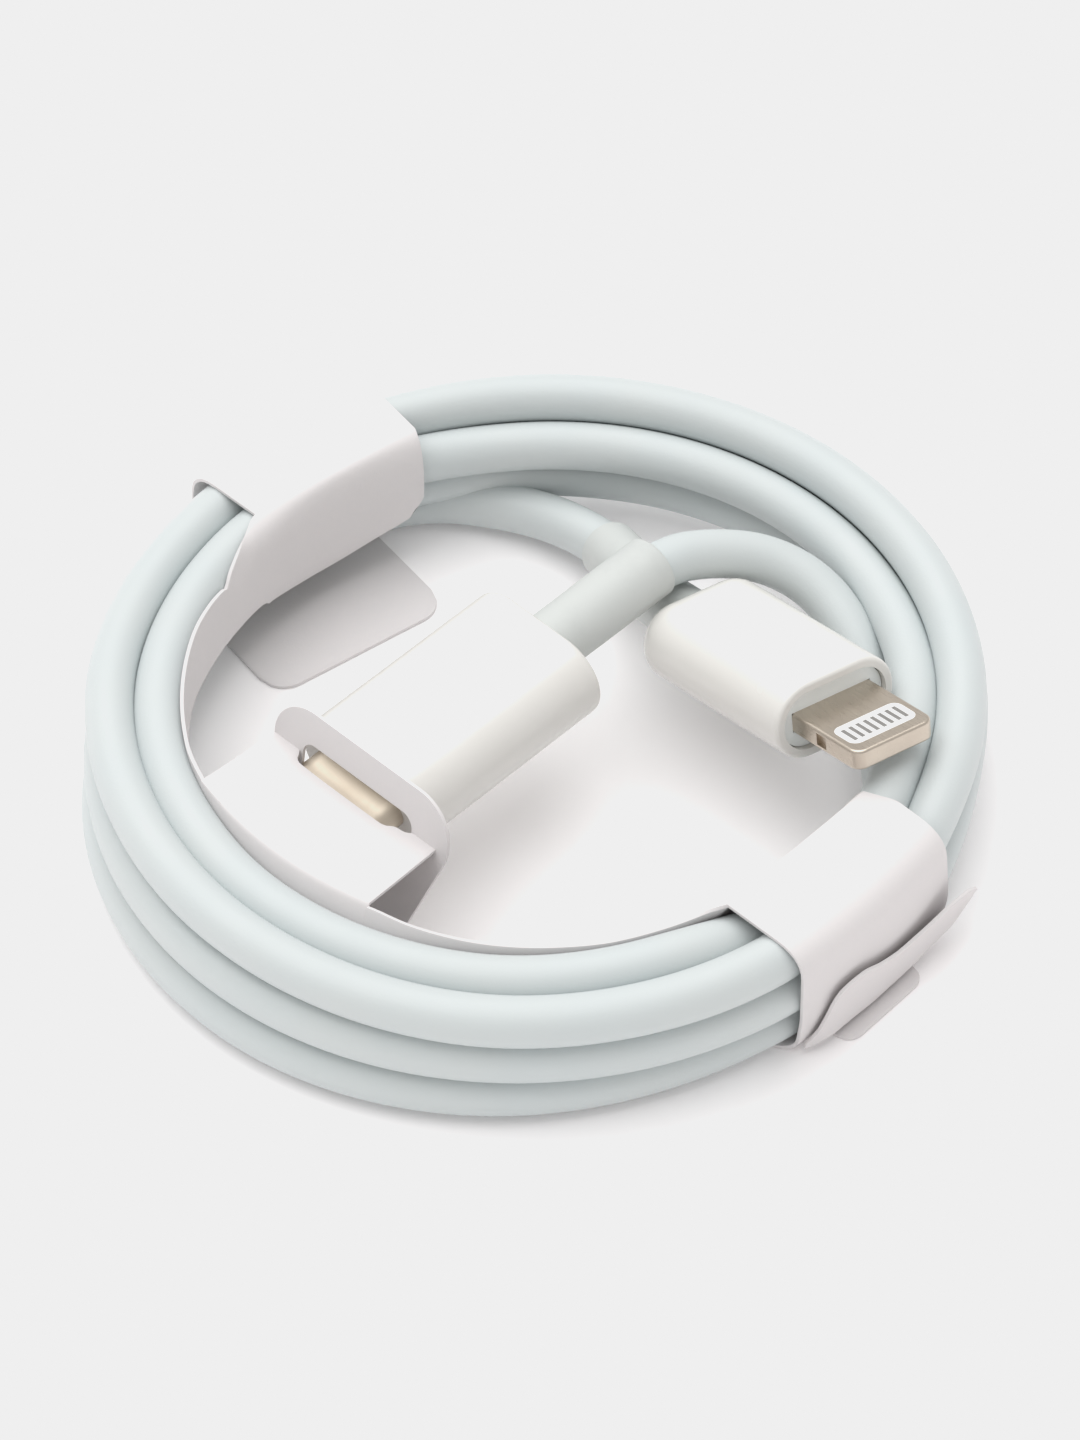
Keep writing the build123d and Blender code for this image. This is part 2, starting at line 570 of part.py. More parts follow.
# ---------------------------------------------------------------- export
finished = {
    "usb_lead": usb_lead,
    "phone_lead": phone_lead,
    "cable_coil": cable_coil,
    "paper_band_left": paper_band_left,
    "paper_band_right": paper_band_right,
    "paper_tab_right": paper_tab_right,
    "paper_wall": paper_wall,
    "paper_shelf": paper_shelf,
    "paper_plate": paper_plate,
    "paper_flap": paper_flap,
    "usb_cover": usb_cover,
    "usb_shell": usb_shell,
    "usb_insulator": usb_insulator,
    "usb_latch_left": latches["usb_latch_left"],
    "usb_latch_right": latches["usb_latch_right"],
    "usb_ground_springs": usb_ground_springs,
    "usb_board": usb_board,
    "usb_chips": usb_chips,
    "usb_shield_can": usb_shield_can,
    "usb_wires": usb_wires,
    "usb_crimp": usb_crimp,
    "usb_inner_mould": usb_inner_mould,
    "usb_strain_relief": usb_strain_relief,
    "usb_cable_core": usb_cable_core,
    "phone_cover": phone_cover,
    "phone_front_insert": phone_front_insert,
    "phone_tab_frame": phone_tab_frame,
    "phone_contact_moulding": phone_contact_moulding,
    "phone_board": phone_board,
    "phone_chips": phone_chips,
    "phone_shield_can": phone_shield_can,
    "phone_wires": phone_wires,
    "phone_crimp": phone_crimp,
    "phone_strain_relief": phone_strain_relief,
}
for name, piece in finished.items():
    piece.part.label = name
    export_step(piece.part, f"parts/{name}.step")
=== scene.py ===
"""Looks of the coiled phone charging cable: the cord, its paper retainer and the surfaces of both plugs.

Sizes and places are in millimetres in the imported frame, and mm() turns them into metres; angles are
in degrees, and azimuths run from +X towards +Y.
"""
import json
from math import ceil, cos, pi, radians, sin, sqrt

import bmesh
import bpy
from mathutils import Matrix, Vector


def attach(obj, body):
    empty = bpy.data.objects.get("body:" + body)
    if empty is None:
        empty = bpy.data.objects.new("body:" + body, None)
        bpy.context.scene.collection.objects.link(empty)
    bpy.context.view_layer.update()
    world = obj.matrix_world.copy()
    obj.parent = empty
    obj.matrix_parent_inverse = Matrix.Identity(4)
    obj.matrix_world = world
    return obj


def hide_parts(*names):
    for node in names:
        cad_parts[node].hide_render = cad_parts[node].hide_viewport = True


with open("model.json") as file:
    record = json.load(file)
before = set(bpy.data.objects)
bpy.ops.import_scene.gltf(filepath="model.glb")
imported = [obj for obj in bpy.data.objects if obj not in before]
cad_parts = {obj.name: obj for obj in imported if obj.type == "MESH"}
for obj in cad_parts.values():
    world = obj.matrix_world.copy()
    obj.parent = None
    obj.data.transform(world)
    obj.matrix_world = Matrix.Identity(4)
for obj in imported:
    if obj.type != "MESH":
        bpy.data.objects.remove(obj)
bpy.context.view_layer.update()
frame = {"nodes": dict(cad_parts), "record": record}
nodes = frame["nodes"]


def mm(*values):
    """Millimetres to metres, one number or a vector."""
    return values[0] / 1000 if len(values) == 1 else Vector(values) / 1000


# ---------------------------------------------------------------- sizes shared with the CAD model
CABLE = 3.45                            # diameter of the cable
OVAL, OVAL_ANGLE = 0.64, 48             # the coil is that much longer than round, at that azimuth
STEPS_PER_TURN = 24
USB_ORIGIN, USB_YAW, USB_PITCH, USB_ROLL = mm(-11.65, -8.75, 9.05), 44.5, 2.95, 0
TAB_YAW, TAB_PITCH, TAB_ROLL = -52.9, 15.3, -5.4


def plug_axes(yaw, pitch, roll):
    """Across, up and along directions of a plug."""
    y, p, r = radians(yaw), radians(pitch), radians(roll)
    along = Vector((cos(y) * cos(p), sin(y) * cos(p), sin(p)))
    level = Vector((-sin(y), cos(y), 0))
    up = along.cross(level)
    across = level * cos(r) + up * sin(r)
    return across, along.cross(across), along


USB_ACROSS, USB_UP, USB_ALONG = plug_axes(USB_YAW, USB_PITCH, USB_ROLL)
TAB_ACROSS, TAB_UP, TAB_ALONG = plug_axes(TAB_YAW, TAB_PITCH, TAB_ROLL)


# ---------------------------------------------------------------- camera, light and floor
PAPER_WHITE = 0.863                     # no surface shows brighter than this
ROOM_LIGHT, SUN_LIGHT, FLOOR_GLOW = 0.68, 2.0, 0.06
ROOM_COLOUR = (1.0, 0.985, 0.975, 1)
FLOOR_COLOUR, FLOOR_HALF = (0.95, 0.935, 0.94, 1), 2.0


def make_camera():
    """Looks along +Y and down, from a little over a third of a metre."""
    azimuth, elevation, distance = 0, 46.86, mm(387.3)
    target = mm(0.35, 5.86, 0)
    back = Vector((sin(radians(azimuth)) * cos(radians(elevation)),
                   -cos(radians(azimuth)) * cos(radians(elevation)), sin(radians(elevation))))
    data = bpy.data.cameras.new("camera")
    data.lens = 138.3
    data.clip_start, data.clip_end = 0.01, 10
    camera = bpy.data.objects.new("camera", data)
    camera.location = target + back * distance
    camera.rotation_euler = (-back).to_track_quat("-Z", "Y").to_euler()
    bpy.context.scene.collection.objects.link(camera)
    bpy.context.scene.camera = camera


def make_light():
    """A white room and one wide soft light overhead, a little behind and to the left."""
    world = bpy.data.worlds.new("room")
    world.use_nodes = True
    background = world.node_tree.nodes["Background"]
    background.inputs["Color"].default_value = ROOM_COLOUR
    background.inputs["Strength"].default_value = ROOM_LIGHT
    bpy.context.scene.world = world
    data = bpy.data.lights.new("overhead", "SUN")
    data.energy = SUN_LIGHT
    data.angle = radians(75)
    light = bpy.data.objects.new("overhead", data)
    light.rotation_euler = (radians(-14), radians(-12), 0)
    bpy.context.scene.collection.objects.link(light)
    view = bpy.context.scene.view_settings
    view.view_transform = "Standard"
    view.use_curve_mapping = True
    white = view.curve_mapping.curves[3]
    white.points.new(PAPER_WHITE, PAPER_WHITE)
    white.points[-1].location = (1, PAPER_WHITE)
    for point in white.points:
        point.handle_type = "VECTOR"
    view.curve_mapping.extend = "HORIZONTAL"
    view.curve_mapping.update()


def make_floor():
    """A plain pale floor."""
    corners = [(x * FLOOR_HALF, y * FLOOR_HALF, 0) for x, y in ((-1, -1), (1, -1), (1, 1), (-1, 1))]
    mesh = bpy.data.meshes.new("floor")
    mesh.from_pydata(corners, [], [(0, 1, 2, 3)])
    floor = bpy.data.objects.new("floor", mesh)
    bpy.context.scene.collection.objects.link(floor)
    floor_material = bpy.data.materials.new("floor")
    floor_material.use_nodes = True
    shader = floor_material.node_tree.nodes["Principled BSDF"]
    shader.inputs["Base Color"].default_value = FLOOR_COLOUR
    shader.inputs["Roughness"].default_value = 0.9
    shader.inputs["Specular IOR Level"].default_value = 0.1
    shader.inputs["Emission Color"].default_value = (1, 0.985, 0.985, 1)
    shader.inputs["Emission Strength"].default_value = FLOOR_GLOW
    mesh.materials.append(floor_material)


# ---------------------------------------------------------------- materials
class Surface:
    """A Principled material whose colour, roughness and relief come from procedural nodes."""

    def __init__(self, name, colour, roughness, **values):
        self.material = bpy.data.materials.new(name)
        self.material.use_nodes = True
        self.tree = self.material.node_tree
        self.shader = self.tree.nodes["Principled BSDF"]
        self.shader.inputs["Roughness"].default_value = roughness
        self.shader.inputs["Base Color"].default_value = (*colour, 1)
        for socket, value in values.items():
            self.shader.inputs[socket.replace("_", " ")].default_value = value
        self.place = self.tree.nodes.new("ShaderNodeTexCoord").outputs["Object"]
        self.colour = None
        self.height = None

    def node(self, kind, **settings):
        made = self.tree.nodes.new(kind)
        for key, value in settings.items():
            setattr(made, key, value)
        return made

    def stretched(self, scale, turn=None):
        """Object coordinates, turned to a plug's own axes where needed, then scaled."""
        place = self.place
        if turn is not None:
            mapping = self.node("ShaderNodeMapping")
            mapping.inputs["Rotation"].default_value = turn.to_euler()
            self.tree.links.new(place, mapping.inputs["Vector"])
            place = mapping.outputs["Vector"]
        mapping = self.node("ShaderNodeMapping")
        mapping.inputs["Scale"].default_value = scale
        self.tree.links.new(place, mapping.inputs["Vector"])
        return mapping.outputs["Vector"]

    def noise(self, size, detail=2.0, roughness=0.5, scale=(1, 1, 1), turn=None):
        """Soft noise whose features are about size metres across."""
        texture = self.node("ShaderNodeTexNoise")
        texture.inputs["Scale"].default_value = 1 / size
        texture.inputs["Detail"].default_value = detail
        texture.inputs["Roughness"].default_value = roughness
        self.tree.links.new(self.stretched(scale, turn), texture.inputs["Vector"])
        return texture.outputs["Fac"]

    def ramp(self, value, low, high, first=0.0, last=1.0):
        """value from low to high becomes first to last, held outside."""
        mapped = self.node("ShaderNodeMapRange")
        mapped.inputs["From Min"].default_value = low
        mapped.inputs["From Max"].default_value = high
        mapped.inputs["To Min"].default_value = first
        mapped.inputs["To Max"].default_value = last
        self.tree.links.new(value, mapped.inputs["Value"])
        return mapped.outputs["Result"]

    def tint(self, amount, colour):
        """Mixes another colour in, by a share from 0 to 1."""
        mix = self.node("ShaderNodeMix", data_type="RGBA")
        self.tree.links.new(amount, mix.inputs["Factor"])
        if self.colour is None:
            mix.inputs["A"].default_value = self.shader.inputs["Base Color"].default_value
        else:
            self.tree.links.new(self.colour, mix.inputs["A"])
        mix.inputs["B"].default_value = (*colour, 1)
        self.colour = mix.outputs["Result"]
        self.tree.links.new(self.colour, self.shader.inputs["Base Color"])

    def bump(self, value, depth, strength=1.0):
        """Relief of that depth in metres, on top of what is there."""
        made = self.node("ShaderNodeBump")
        made.inputs["Strength"].default_value = strength
        made.inputs["Distance"].default_value = depth
        self.tree.links.new(value, made.inputs["Height"])
        if self.height is not None:
            self.tree.links.new(self.height, made.inputs["Normal"])
        self.height = made.outputs["Normal"]
        self.tree.links.new(self.height, self.shader.inputs["Normal"])

    def gloss(self, value, low, high):
        """Roughness that follows a texture."""
        self.tree.links.new(self.ramp(value, 0.3, 0.7, low, high), self.shader.inputs["Roughness"])

    def specks(self, spacing, radius, share, colour):
        """Tiny scattered marks, such as dust: only some cells of a grid have one."""
        cells = self.node("ShaderNodeTexVoronoi")
        cells.inputs["Scale"].default_value = 1 / spacing
        self.tree.links.new(self.place, cells.inputs["Vector"])
        split = self.node("ShaderNodeSeparateColor")
        self.tree.links.new(cells.outputs["Color"], split.inputs["Color"])
        chosen = self.ramp(split.outputs["Red"], share, share + 0.001, 1.0, 0.0)
        near = self.ramp(cells.outputs["Distance"], radius / spacing * 0.6, radius / spacing, 1.0, 0.0)
        both = self.node("ShaderNodeMath", operation="MULTIPLY")
        self.tree.links.new(chosen, both.inputs[0])
        self.tree.links.new(near, both.inputs[1])
        self.tint(both.outputs["Value"], colour)


def turned_to(across, up, along):
    """Rotation that takes world directions to a plug's own axes."""
    return Matrix((across, up, along))


def jacket_material():
    """Soft satin jacket: a cool white, faintly mottled, with dust and fine scuffs."""
    s = Surface("cable_jacket", (0.61, 0.65, 0.65), 0.42, Specular_IOR_Level=0.42)
    s.tint(s.ramp(s.noise(mm(9), 3), 0.35, 0.7, 0, 0.5), (0.585, 0.64, 0.65))
    s.specks(mm(2.6), mm(0.07), 0.05, (0.33, 0.33, 0.33))
    s.gloss(s.noise(mm(3), 4), 0.36, 0.5)
    s.bump(s.noise(mm(0.16), 3, 0.6), mm(0.010))
    s.bump(s.noise(mm(5), 2), mm(0.05), 0.5)
    return s.material


def cover_material():
    """Moulded glossy plastic, warm white."""
    s = Surface("cover_plastic", (0.76, 0.75, 0.72), 0.22, Specular_IOR_Level=0.5)
    s.tint(s.ramp(s.noise(mm(12), 2), 0.35, 0.7, 0, 0.4), (0.735, 0.72, 0.685))
    s.specks(mm(3.4), mm(0.05), 0.05, (0.45, 0.42, 0.38))
    s.gloss(s.noise(mm(4), 4), 0.17, 0.28)
    s.bump(s.noise(mm(2.2), 2), mm(0.006))
    return s.material


def relief_material():
    """The strain reliefs' softer, greyer plastic, with small scuffs."""
    s = Surface("relief_plastic", (0.60, 0.625, 0.61), 0.5)
    s.tint(s.ramp(s.noise(mm(4), 4, 0.65), 0.5, 0.72, 0, 0.4), (0.52, 0.545, 0.535))
    s.specks(mm(1.7), mm(0.06), 0.08, (0.40, 0.41, 0.40))
    s.gloss(s.noise(mm(2), 4), 0.42, 0.6)
    s.bump(s.noise(mm(0.12), 3, 0.6), mm(0.012))
    return s.material


def insert_material():
    """The front insert inside the flat-tab plug: a cool pale grey, made paler than its plastic as painted
    light to offset the shade in its recess.
    """
    # base colour set above the plastic's own: painted light against the shade of the recess
    s = Surface("insert_plastic", (0.90, 0.935, 0.93), 0.34)
    s.tint(s.ramp(s.noise(mm(2.5), 3), 0.4, 0.7, 0, 0.4), (0.82, 0.87, 0.87))
    s.bump(s.noise(mm(0.2), 2), mm(0.006))
    return s.material


BRUSHED_GRAIN = 0.03                    # width of the fine lines on the metals


def metal_material(name, colour, dark, roughness, axes):
    """Brushed metal: fine lines along a plug's axis, and a slow change of tone."""
    s = Surface(name, colour, roughness, Metallic=1.0)
    turn = turned_to(*axes)
    lines = s.noise(mm(BRUSHED_GRAIN), 2, 0.5, scale=(1, 1, 0.02), turn=turn)
    s.tint(s.ramp(s.noise(mm(3), 3), 0.35, 0.7, 0, 0.6), dark)
    s.gloss(lines, roughness - 0.07, roughness + 0.1)
    s.bump(lines, mm(0.004), 0.6)
    return s.material


def paper_material():
    """Smooth white card: faint fibres, a slow cockle and a soft matt surface."""
    s = Surface("paper_card", (0.74, 0.715, 0.715), 0.72, Specular_IOR_Level=0.25)
    s.tint(s.ramp(s.noise(mm(0.5), 4, 0.65), 0.35, 0.75, 0, 0.35), (0.71, 0.695, 0.705))
    s.specks(mm(5.5), mm(0.06), 0.04, (0.42, 0.36, 0.33))
    s.bump(s.noise(mm(0.22), 4, 0.65, scale=(1, 1, 0.5)), mm(0.012))
    s.bump(s.noise(mm(6), 2), mm(0.10), 0.6)
    return s.material


def plain_material(name, colour, roughness, other):
    """A small hidden piece's plastic: mottled a little, with a fine texture."""
    s = Surface(name, colour, roughness)
    s.tint(s.ramp(s.noise(mm(0.8), 3), 0.4, 0.7, 0, 0.5), other)
    s.bump(s.noise(mm(0.1), 3), mm(0.004))
    return s.material


USB_AXES = (USB_ACROSS, USB_UP, USB_ALONG)
TAB_AXES = (TAB_ACROSS, TAB_UP, TAB_ALONG)
MATERIALS = {
    "cable_jacket": jacket_material(),
    "relief_plastic": relief_material(),
    "cover_plastic": cover_material(),
    "insert_plastic": insert_material(),
    "shell_metal": metal_material("shell_metal", (0.62, 0.55, 0.455), (0.55, 0.48, 0.39), 0.42, USB_AXES),
    "spring_metal": metal_material("spring_metal", (0.70, 0.69, 0.66), (0.62, 0.61, 0.58), 0.3, USB_AXES),
    "tab_metal": metal_material("tab_metal", (0.60, 0.535, 0.455), (0.51, 0.45, 0.385), 0.32, TAB_AXES),
    "can_metal": metal_material("can_metal", (0.76, 0.76, 0.75), (0.66, 0.66, 0.65), 0.35, USB_AXES),
    "crimp_metal": metal_material("crimp_metal", (0.7, 0.7, 0.7), (0.6, 0.6, 0.6), 0.35, USB_AXES),
    "gold_contacts": metal_material("gold_contacts", (0.83, 0.62, 0.25), (0.75, 0.53, 0.2), 0.25, USB_AXES),
    "pad_metal": metal_material("pad_metal", (0.50, 0.49, 0.48), (0.36, 0.35, 0.34), 0.3, TAB_AXES),
    "black_insulator": plain_material("black_insulator", (0.02, 0.02, 0.022), 0.5, (0.03, 0.03, 0.032)),
    "contact_moulding": plain_material("contact_moulding", (0.86, 0.86, 0.85), 0.3, (0.83, 0.83, 0.82)),
    "board": plain_material("board", (0.02, 0.12, 0.05), 0.4, (0.03, 0.15, 0.07)),
    "chips": plain_material("chips", (0.015, 0.015, 0.018), 0.5, (0.025, 0.025, 0.028)),
    "wire_insulation": plain_material("wire_insulation", (0.5, 0.03, 0.02), 0.45, (0.42, 0.03, 0.02)),
    "inner_mould": plain_material("inner_mould", (0.7, 0.7, 0.68), 0.55, (0.64, 0.64, 0.62)),
    "paper_card": paper_material(),
}


def dress_cad_nodes():
    """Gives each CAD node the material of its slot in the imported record."""
    for part in frame["record"]["subparts"]:
        mesh = nodes[part["node"]].data
        mesh.materials.clear()
        mesh.materials.append(MATERIALS[part["material_slot"]])


# ---------------------------------------------------------------- the cable
USB_LEAD = [
    USB_ORIGIN + USB_ALONG * mm(23.2),
    USB_ORIGIN + USB_ALONG * mm(28.4),
    mm(12.4, 12.9, 9.6),
    mm(16.3, 13.5, 8.4),
    mm(19.8, 11.9, 7.2),
    mm(22.1, 8.6, 5.9),
    mm(23.4, 5.0, 4.4),
    mm(24.0, 0.5, 2.9),
    mm(24.4, -4.0, 2.1),
]
PHONE_LEAD = [
    mm(-7.0, 26.1, 1.9),
    mm(-2.6, 25.25, 2.0),
    mm(1.4, 23.5, 2.4),
    mm(5.0, 20.2, 3.1),
    mm(8.1, 15.8, 4.1),
]
# Places of the strands in the bundle, in the order that the cable takes them: radius and height
# where the bundle is square, and where it has slumped behind.
SQUARE = [(25.7, 2.0), (25.7, 5.45), (25.7, 8.9), (29.15, 8.9), (29.15, 5.45), (29.15, 2.0), (27.8, 1.9)]
SLUMP_REGION = -60                      # no place slumps at azimuths below this
SLUMPED = {1: (27.25, 3.2), 2: (26.25, 6.9), 4: (30.05, 5.6)}
# azimuths where a place slumps, by radius and by height, and where it is square again
SLUMP_START = {1: ((140, 108), (140, 85)), 2: ((141, 98), (141, 98)), 4: ((131, 104), (140, 108))}
SLUMP_END = {1: (24, -8), 2: (22, -14), 4: (20, -6)}
# small sways of a place by radius: azimuth against millimetres
SWAY = {2: [(-180, 0), (-160, -0.4), (-120, -0.4), (-95, 0)],
        3: [(-180, -0.2), (-160, -0.7), (-135, -0.8), (-110, -0.4), (-90, 0)],
        5: [(-180, 0.3), (-165, 0.5), (-130, 0.5), (-95, 0), (-70, -0.7), (-50, -0.8), (-25, 0)]}
COIL_START, COIL_END, WHOLE_TURNS = -20, 114 - 360, 4
# moves to the next place: from one azimuth to another, in which turn
MOVES = [(-58, -100, 0), (-38, -64, 1), (-28, -54, 2), (-18, -44, 3), (-8, -34, 4),
         (148 - 360, 114 - 360, 4)]


def smooth(value):
    """0 to 1, with a level start and end."""
    held = min(1.0, max(0.0, value))
    return held * held * (3 - 2 * held)


def place_of_strand(number, azimuth):
    """Radius and height of one of the bundle's places at an azimuth."""
    radius, height = SQUARE[number]
    azimuth = (azimuth + 180) % 360 - 180
    if number in SWAY:
        radius += curve_at(SWAY[number], azimuth)
    if number not in SLUMPED or azimuth < SLUMP_REGION:
        return radius, height
    high, low = SLUMP_END[number]
    kept = 1 - smooth((high - azimuth) / (high - low))
    outward, downward = [kept * smooth((start - azimuth) / (start - end))
                         for start, end in SLUMP_START[number]]
    slumped_radius, slumped_height = SLUMPED[number]
    return radius + (slumped_radius - radius) * outward, height + (slumped_height - height) * downward


def coil_points():
    """Control points of the wound turns, clockwise seen from above."""
    travel = COIL_START - COIL_END + 360 * WHOLE_TURNS
    steps = round(travel * STEPS_PER_TURN / 360)
    stretch = 1 / cos(pi / STEPS_PER_TURN)      # a control point lies outside the curve it shapes
    points = []
    for step in range(steps + 1):
        turned = travel * step / steps
        azimuth = COIL_START - turned
        moved = sum(smooth((turned - (COIL_START - a + 360 * turn)) / (a - b)) for a, b, turn in MOVES)
        place = min(len(SQUARE) - 2, int(moved))
        (r0, z0), (r1, z1) = place_of_strand(place, azimuth), place_of_strand(place + 1, azimuth)
        share = moved - place
        radius, height = r0 + (r1 - r0) * share, z0 + (z1 - z0) * share
        distance = (radius + OVAL * cos(2 * radians(azimuth - OVAL_ANGLE))) * stretch
        points.append(mm(distance * cos(radians(azimuth)), distance * sin(radians(azimuth)), height))
    return points


def make_cable():
    """One smooth line from plug to plug, with a round jacket on it."""
    route = USB_LEAD + coil_points() + PHONE_LEAD
    curve = bpy.data.curves.new("cable", "CURVE")
    curve.dimensions = "3D"
    spline = curve.splines.new("NURBS")
    spline.points.add(len(route) - 1)
    for point, position in zip(spline.points, route):
        point.co = (*position, 1)
    spline.order_u = 3
    spline.use_endpoint_u = True
    spline.resolution_u = 8
    curve.bevel_depth = mm(CABLE / 2)
    curve.bevel_resolution = 10
    curve.use_fill_caps = True
    curve.materials.append(MATERIALS["cable_jacket"])
    cable = bpy.data.objects.new("cable", curve)
    bpy.context.scene.collection.objects.link(cable)
    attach(cable, "cable")
    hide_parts("cable_coil", "usb_lead", "phone_lead")


# ---------------------------------------------------------------- the folded card
CARD = 0.25                             # thickness of the card
CARD_TOP = 10.8                         # height of its middle over the coil
CARD_FLOOR = 0.16                       # and where it lies on the floor
WALL = 23.79                            # mean radius of the wall inside the coil
LEFT_AZIMUTH, RIGHT_AZIMUTH, SHELF_AZIMUTH = 126, 318, 223      # middles of the bands and the shelf
LEFT_START, LEFT_END = 111.4, 143.5     # azimuths of the left band's edges at the wall
SHELF_START, SHELF_END = 203.3, 242.2
RIGHT_START, RIGHT_END = 301.1, 333.6

# the wall: azimuth against the height of its bottom edge, of the start of its upper curve,
# and radius beyond WALL and height of its upper edge where no panel continues it
WALL_FOOT = [(111.4, 5.0), (112.6, 4.4), (120, 3.6), (128, 3.2), (136, 3.4), (143.5, 3.9), (144.6, 3.95),
             (145.4, 4.3), (155.5, 4.6), (166.3, 5.1), (177.6, 6.0), (195, 6.2), (212, 3.2), (225, 2.6),
             (334, 2.6)]
WALL_SHOULDER = [(111.4, 6.0), (126, 7.6), (143.5, 8.9), (156, 8.4), (200, 8.6), (212, 7.6), (235, 7.2),
                 (250, 8.0), (300, 8.0), (302, 8.8), (334, 8.8)]
EDGE_RADIUS = [(143.5, 1.65), (147, 1.0), (150.6, 0.5), (153.3, 0.3), (156.2, 0.12), (171, 0.12),
               (195, 0.12), (203.3, -0.12), (242.2, -0.95), (250, -0.6), (262, -0.25), (280, -0.08),
               (293, 0.0), (296, 0.1), (299, 0.6), (301.1, 1.14)]
EDGE_HEIGHT = [(143.5, 10.8), (147, 10.78), (150.6, 10.62), (153.3, 10.25), (155, 9.9), (156.2, 9.45),
               (157.2, 9.7), (162.8, 10.25), (171.4, 10.72), (182, 10.72), (203.3, 10.6), (242.2, 10.5),
               (255, 10.3), (264.7, 10.1), (273.9, 9.9), (283.5, 9.7), (293, 9.7), (296, 9.8), (299, 10.4),
               (301.1, 10.8)]
FREE_LIFT, FOLD_DROP = 0.15, 0.05       # the upper curve's corner: above its middle, or below a fold
SHELF_HANG, RIGHT_HANG = 0.75, 0.85     # how far that corner lies on the way to the fold
LEFT_BLEND, LEFT_BLEND_RATE = 8, 1.6    # degrees over which the free edge comes away from the left band
RIGHT_BLEND = 8.1                       # and over which it reaches the right one
LEFT_BULGE, LEFT_BULGE_SHARE = 0.75, 0.4    # the left band's free edge stands out, over this share of it

# Lines across each band, from its inner fold over, down and under the coil. Each has the distance
# and the place along the band of both ends, its height, and how far its middle bows outwards.
LEFT_BAND = [
    ((24.4, -7.2), (23.85, 6.8), CARD_TOP, 0),
    ((30.35, -7.2), (30.1, 7.9), CARD_TOP, 0),
    ((31.05, -7.2), (30.95, 7.9), CARD_FLOOR, 0),
    ((27.0, -5.2), (27.0, 10.0), CARD_FLOOR, 0),
]
RIGHT_BAND = [
    ((23.35, -7.1), (23.6, 6.6), CARD_TOP, 0),
    ((25.65, -7.2), (25.65, 7.4), CARD_TOP, 0),
    ((30.05, -7.4), (30.05, 7.1), CARD_TOP, 0.42),
    ((29.8, -6.95), (29.8, 8.2), 4.0, 0.42),
    ((29.1, -6.5), (29.4, 8.0), CARD_FLOOR, 0.42),
    ((27.0, -7.6), (27.0, 7.2), CARD_FLOOR, 0),
]
# reach of the bend at each line between the first and the last, at the band's two edges
LEFT_BENDS = [(1.9, 2.2), (0.7, 0.7)]
RIGHT_BENDS = [(0.5, 0.5), (2.3, 2.3), (0.8, 0.8), (1.5, 0.9)]
# floor tabs: distance of the free and of the hidden end, both sides, corner radius and height
LEFT_TAB = (17.15, 27.5, -4.8, 10.0, 2.1, 0.155)
RIGHT_TAB = (31.5, 26.0, -3.7, 4.3, 1.2, 0.15)

SHELF_CORNERS = mm(-22.17, -9.56, 10.5), mm(-10.76, -20.43, 10.5)
PLATE_FOLD = mm(-17.44, -5.15, 10.45), mm(-6.55, -15.77, 10.45)
SHELF_BULGE = 1.05
# how far the slot's lower edge lies back from the fold, along the fold in mm
SLOT_EDGE = [(0, 0), (2.3, 0), (2.55, 0.25), (2.75, 0.6), (3.3, 0.85), (10.6, 0.9), (11.3, 0.8), (11.8, 0.45),
             (12.7, 0.3), (13.2, 0.0), (15.3, 0)]

# the loose flap: place along the fold, then distance and height of its foot and of its upper edge
FLAP = [(-6.2, 29.6, 0.55, 29.65, 1.1), (-5.7, 29.9, 0.7, 30.05, 1.9), (-5.3, 30.1, 0.85, 30.35, 2.9),
        (-4.9, 30.2, 0.9, 30.6, 4.3), (-4.2, 30.3, 0.85, 30.8, 5.4), (-2.2, 30.35, 0.8, 30.95, 5.7),
        (0.0, 30.4, 0.7, 31.0, 5.0), (2.1, 30.4, 0.75, 31.0, 4.6), (4.6, 30.35, 0.8, 31.05, 4.7),
        (6.6, 30.25, 0.9, 31.25, 5.2), (8.2, 30.35, 1.3, 31.35, 5.3), (9.0, 30.6, 2.4, 31.35, 5.05),
        (9.5, 30.95, 3.7, 31.25, 4.6)]
FLAP_HOLLOW = 0.08                      # how far the flap is hollow between foot and edge

# fineness of the sheet: rows up the wall and its curve, steps of a bend, of a run and of a panel,
# then columns in degrees of azimuth, and in mm along the flap
LOWER_ROWS, FOLD_ROWS, BEND_STEPS, LEFT_RUN_STEPS, RIGHT_RUN_STEPS = 6, 9, 7, 5, 4
SHELF_ROWS, TAB_ROWS, TAB_STEP, FLAP_ROWS = 8, 6, 0.02, 8
BAND_STEP, EDGE_STEP, SHELF_STEP, FLAP_STEP = 1.2, 0.8, 0.55, 0.35
MERGED, DEGENERATE = 0.02, 0.005        # points this close become one, edges this short go
CUT_BEVEL, CUT_SEGMENTS, CUT_ANGLE, SHARP_ANGLE = 0.05, 2, 55, 50


def curve_at(table, place):
    """Smooth curve through (place, value) pairs, held at both ends."""
    if place <= table[0][0]:
        return table[0][1]
    for index in range(len(table) - 1):
        (x0, y0), (x1, y1) = table[index], table[index + 1]
        if place <= x1:
            before, after = table[max(0, index - 1)], table[min(len(table) - 1, index + 2)]
            step, share = x1 - x0, (place - x0) / (x1 - x0)
            slope0 = (y1 - before[1]) / (x1 - before[0]) * step
            slope1 = (after[1] - y0) / (after[0] - x0) * step
            if (y1 - y0) * (y0 - before[1]) <= 0:
                slope0 = 0
            if (y1 - y0) * (after[1] - y1) <= 0:
                slope1 = 0
            square, cube = share ** 2, share ** 3
            return (y0 * (2 * cube - 3 * square + 1) + slope0 * (cube - 2 * square + share)
                    + y1 * (3 * square - 2 * cube) + slope1 * (cube - square))
    return table[-1][1]


